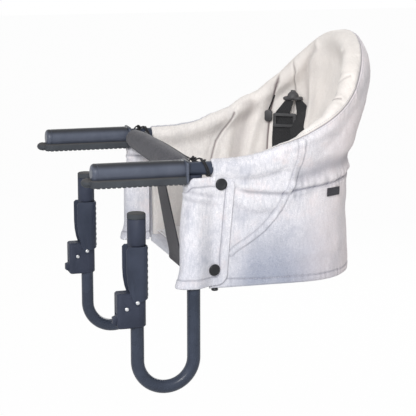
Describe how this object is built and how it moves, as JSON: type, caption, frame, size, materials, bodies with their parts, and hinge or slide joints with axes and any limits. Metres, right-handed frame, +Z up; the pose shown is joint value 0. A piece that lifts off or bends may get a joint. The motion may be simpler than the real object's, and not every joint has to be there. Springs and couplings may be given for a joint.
{
  "type": "hook-on table chair",
  "caption": "Sewn child seat on a bent tube hoop that hangs on a table edge: padded arms lie on top and sliding hook clamps with squeeze levers press from below.",
  "frame": {"origin": "on the tabletop plane, midway between the axes of the rear uprights", "axes": "+X from the table towards the seat's back, +Y to the sitter's right, +Z up"},
  "size_m": [0.4787, 0.376, 0.4933],
  "materials": {
    "tube": "satin dark slate paint",
    "grip_plastic": "satin moulded plastic",
    "dark_plastic": "fine matt moulded plastic",
    "rubber": "matt soft rubber",
    "seat_fabric": "light melange canvas",
    "roll_fabric": "dark woven canvas over foam",
    "webbing": "ribbed webbing",
    "cord": "braided cord",
    "snap_plastic": "matt moulded cap",
    "rivet_steel": "bright formed heads"
  },
  "bodies": {
    "frame": {"hoop_tube": "tube", "cross_tube": "tube", "left_arm_grip": "grip_plastic", "right_arm_grip": "grip_plastic", "right_clip": "dark_plastic", "buckle_body": "dark_plastic", "buckle_tongue": "dark_plastic", "left_adjuster": "dark_plastic", "left_arm_socket": "dark_plastic", "right_adjuster": "dark_plastic", "right_arm_socket": "dark_plastic", "left_arm_pad": "rubber", "right_arm_pad": "rubber", "seat_shell": "seat_fabric", "seat_base": "seat_fabric", "seat_pad": "seat_fabric", "left_flap": "seat_fabric", "right_flap": "seat_fabric", "bumper_roll": "roll_fabric", "crotch_strap": "webbing", "side_tag": "webbing", "left_lap_strap": "webbing", "left_shoulder_strap": "webbing", "right_lap_strap": "webbing", "right_shoulder_strap": "webbing", "bumper_cord": "cord", "right_clip_tether": "cord", "left_cord_winding": "cord", "left_cord_knot": "cord", "right_cord_winding": "cord", "right_cord_knot": "cord", "left_upper_snap": "snap_plastic", "left_lower_snap": "snap_plastic", "left_hem_snap": "snap_plastic", "right_upper_snap": "snap_plastic", "right_lower_snap": "snap_plastic", "right_hem_snap": "snap_plastic"},
    "buckle_button": {"buckle_button": "dark_plastic"},
    "left_hook": {"left_hook_tube": "tube"},
    "left_clamp": {"left_clamp_outer_half": "dark_plastic", "left_clamp_inner_half": "dark_plastic", "left_foot_post": "dark_plastic", "left_foot_pad": "rubber", "left_lever_outer_rivet": "rivet_steel", "left_lever_inner_rivet": "rivet_steel", "left_pawl_rivet": "rivet_steel"},
    "left_lever": {"left_lever": "grip_plastic"},
    "left_release": {"left_release_pawl": "dark_plastic"},
    "right_hook": {"right_hook_tube": "tube"},
    "right_clamp": {"right_clamp_outer_half": "dark_plastic", "right_clamp_inner_half": "dark_plastic", "right_foot_post": "dark_plastic", "right_foot_pad": "rubber", "right_lever_outer_rivet": "rivet_steel", "right_lever_inner_rivet": "rivet_steel", "right_pawl_rivet": "rivet_steel"},
    "right_lever": {"right_lever": "grip_plastic"},
    "right_release": {"right_release_pawl": "dark_plastic"}
  },
  "joints": [
    {"name": "buckle_button_press", "type": "slide", "parent": "frame", "child": "buckle_button", "axis": [0, 0, -1], "range_m": [0, 0.0025], "stiffness_N_per_m": 400, "springref_m": -0.003},
    {"name": "left_hook_swivel", "type": "hinge", "parent": "frame", "child": "left_hook", "pos_m": [0, -0.17, 0], "axis": [0, 0, -1], "range_deg": [0, 90]},
    {"name": "left_clamp_slide", "type": "slide", "parent": "left_hook", "child": "left_clamp", "axis": [0, 0, 1], "range_m": [-0.04, 0.018]},
    {"name": "left_lever_squeeze", "type": "hinge", "parent": "left_clamp", "child": "left_lever", "pos_m": [-0.0844, -0.17, -0.163], "axis": [0, 1, 0], "range_deg": [0, 28], "stiffness_Nm_per_rad": 0.5, "springref_deg": -14.32},
    {"name": "left_release_tilt", "type": "hinge", "parent": "left_clamp", "child": "left_release", "pos_m": [-0.0994, -0.17, -0.1716], "axis": [0, 1, 0], "range_deg": [0, 8], "stiffness_Nm_per_rad": 0.4, "springref_deg": -11.46},
    {"name": "right_hook_swivel", "type": "hinge", "parent": "frame", "child": "right_hook", "pos_m": [0, 0.17, 0], "axis": [0, 0, 1], "range_deg": [0, 90]},
    {"name": "right_clamp_slide", "type": "slide", "parent": "right_hook", "child": "right_clamp", "axis": [0, 0, 1], "range_m": [-0.04, 0.018]},
    {"name": "right_lever_squeeze", "type": "hinge", "parent": "right_clamp", "child": "right_lever", "pos_m": [-0.0844, 0.17, -0.163], "axis": [0, 1, 0], "range_deg": [0, 28], "stiffness_Nm_per_rad": 0.5, "springref_deg": -14.32},
    {"name": "right_release_tilt", "type": "hinge", "parent": "right_clamp", "child": "right_release", "pos_m": [-0.0994, 0.17, -0.1716], "axis": [0, 1, 0], "range_deg": [0, 8], "stiffness_Nm_per_rad": 0.4, "springref_deg": -11.46}
  ]
}
